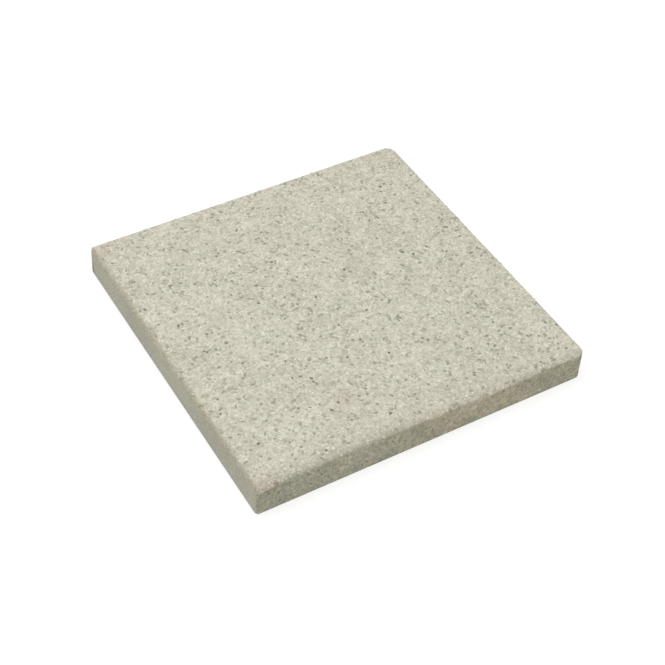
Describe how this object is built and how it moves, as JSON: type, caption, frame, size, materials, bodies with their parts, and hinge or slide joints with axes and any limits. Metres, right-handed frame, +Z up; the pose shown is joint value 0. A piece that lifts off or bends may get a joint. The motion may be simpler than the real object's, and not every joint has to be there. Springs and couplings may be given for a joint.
{
  "type": "concrete paving slab",
  "caption": "Square concrete paving slab with a pale blasted wearing face, worn upper arris and plain bedding face, laid flat for paths and terraces.",
  "frame": {"origin": "middle of the bedding face, the underside that the slab lies on", "axes": "+Z up through the wearing face, +X and +Y square to the side faces"},
  "size_m": [0.4, 0.4, 0.038],
  "materials": {
    "concrete": "blasted, granular and matt on the wearing face, as cast on the sides and underneath"
  },
  "bodies": {
    "root": {"slab": "concrete"}
  },
  "joints": []
}
